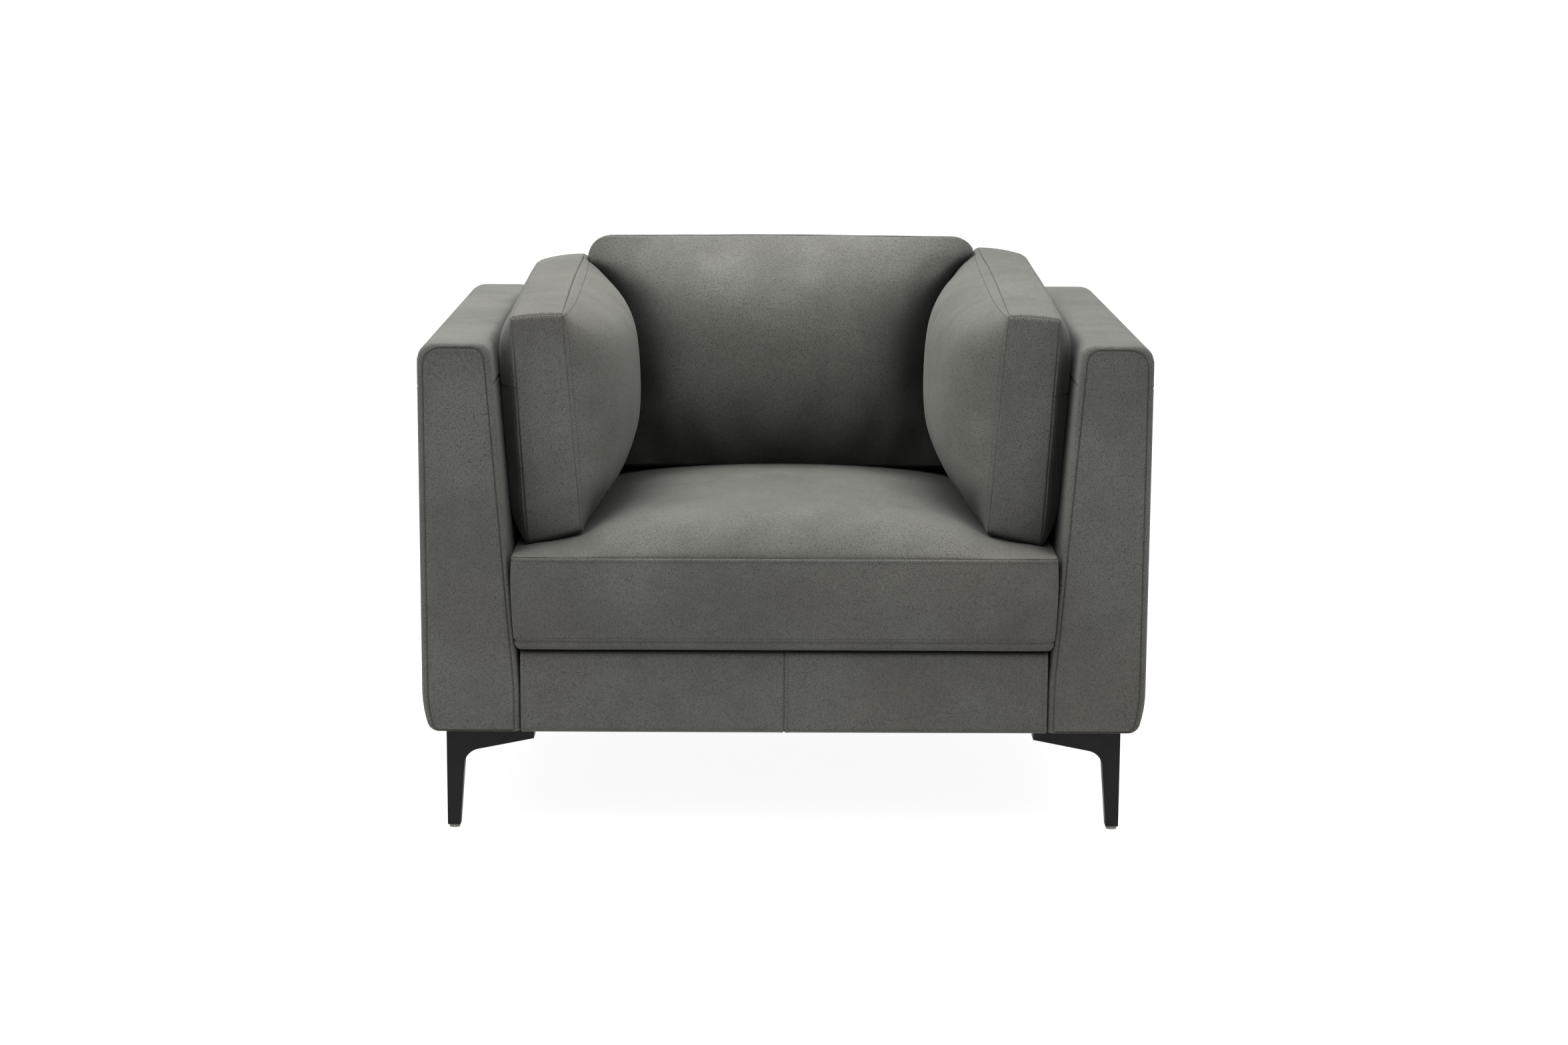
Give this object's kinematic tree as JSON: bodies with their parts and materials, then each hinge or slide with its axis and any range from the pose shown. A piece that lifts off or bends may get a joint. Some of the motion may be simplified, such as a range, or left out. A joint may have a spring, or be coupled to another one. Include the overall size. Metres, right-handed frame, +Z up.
{
  "type": "upholstered armchair",
  "caption": "Boxy leather armchair with loose seat, back and arm cushions, raised on black corner legs.",
  "frame": {"origin": "centre of the bounding box's footprint, on the floor under the glides", "axes": "+Z up, the chair faces -Y, +X is on the right of someone looking at its front"},
  "size_m": [1.06, 0.87, 0.834],
  "materials": {
    "leather": "soft nubuck leather, matte",
    "foam": "open-cell foam, matte",
    "felt": "polyester felt, matte",
    "deck_cloth": "woven polypropylene, matte",
    "dust_cloth": "spunbond cloth, matte",
    "webbing": "elastic webbing, matte",
    "wood": "sawn beech and plywood, matte",
    "hardboard": "hardboard, satin",
    "leg_metal": "matte black powder coat",
    "glide_plastic": "moulded nylon, satin",
    "bright_steel": "zinc plated, satin",
    "zip_tape": "woven polyester, matte",
    "zip_metal": "black lacquered, satin"
  },
  "bodies": {
    "chassis": {"left_arm_cover": "leather", "right_arm_cover": "leather", "front_left_leg": "leg_metal", "front_right_leg": "leg_metal", "rear_left_leg": "leg_metal", "rear_right_leg": "leg_metal", "leg_glides": "glide_plastic", "front_rail_cover": "leather", "deck_cloth": "deck_cloth", "dust_cover": "dust_cloth", "inside_back_cover": "leather", "outside_back_cover": "leather", "left_arm_foam": "foam", "left_arm_front_board": "wood", "left_arm_rear_board": "wood", "left_arm_top_rail": "wood", "left_arm_panel": "hardboard", "left_arm_bolt_rail": "wood", "left_side_rail": "wood", "left_back_post": "wood", "right_arm_foam": "foam", "right_arm_front_board": "wood", "right_arm_rear_board": "wood", "right_arm_top_rail": "wood", "right_arm_panel": "hardboard", "right_arm_bolt_rail": "wood", "right_side_rail": "wood", "right_back_post": "wood", "front_rail": "wood", "rear_rail": "wood", "leg_screws": "bright_steel", "leg_blocks": "wood", "arm_bolts": "bright_steel", "arm_tee_nuts": "bright_steel", "seat_springs": "bright_steel", "spring_clips": "bright_steel", "deck_pad": "felt", "front_rail_foam": "foam", "back_foam": "foam", "back_top_rail": "wood", "back_low_rail": "wood", "back_webbing": "webbing"},
    "seat_cushion": {"seat_cushion_cover": "leather", "seat_cushion_core": "foam", "seat_cushion_zip": "zip_tape"},
    "seat_cushion_slider": {"seat_cushion_zip_slider": "zip_metal"},
    "back_cushion": {"back_cushion_cover": "leather", "back_cushion_core": "foam", "back_cushion_zip": "zip_tape"},
    "back_cushion_slider": {"back_cushion_zip_slider": "zip_metal"},
    "left_arm_cushion": {"left_arm_cushion_cover": "leather", "left_arm_cushion_core": "foam", "left_arm_cushion_zip": "zip_tape"},
    "left_arm_cushion_slider": {"left_arm_cushion_zip_slider": "zip_metal"},
    "right_arm_cushion": {"right_arm_cushion_cover": "leather", "right_arm_cushion_core": "foam", "right_arm_cushion_zip": "zip_tape"},
    "right_arm_cushion_slider": {"right_arm_cushion_zip_slider": "zip_metal"}
  },
  "joints": [
    {"name": "seat_cushion_slide", "type": "slide", "parent": "chassis", "child": "seat_cushion", "axis": [0, -1, 0], "range_m": [0, 0.72]},
    {"name": "back_cushion_lift", "type": "slide", "parent": "seat_cushion", "child": "back_cushion", "axis": [0, 0, 1], "range_m": [0, 0.42]},
    {"name": "left_arm_cushion_lift", "type": "slide", "parent": "seat_cushion", "child": "left_arm_cushion", "axis": [0, 0, 1], "range_m": [0, 0.42]},
    {"name": "right_arm_cushion_lift", "type": "slide", "parent": "seat_cushion", "child": "right_arm_cushion", "axis": [0, 0, 1], "range_m": [0, 0.42]},
    {"name": "seat_cushion_zip_slide", "type": "slide", "parent": "seat_cushion", "child": "seat_cushion_slider", "axis": [1, 0, 0], "range_m": [0, 0.6]},
    {"name": "back_cushion_zip_slide", "type": "slide", "parent": "back_cushion", "child": "back_cushion_slider", "axis": [1, 0, 0], "range_m": [0, 0.44]},
    {"name": "left_arm_cushion_zip_slide", "type": "slide", "parent": "left_arm_cushion", "child": "left_arm_cushion_slider", "axis": [0, 1, 0], "range_m": [0, 0.52]},
    {"name": "right_arm_cushion_zip_slide", "type": "slide", "parent": "right_arm_cushion", "child": "right_arm_cushion_slider", "axis": [0, 1, 0], "range_m": [0, 0.52]}
  ]
}
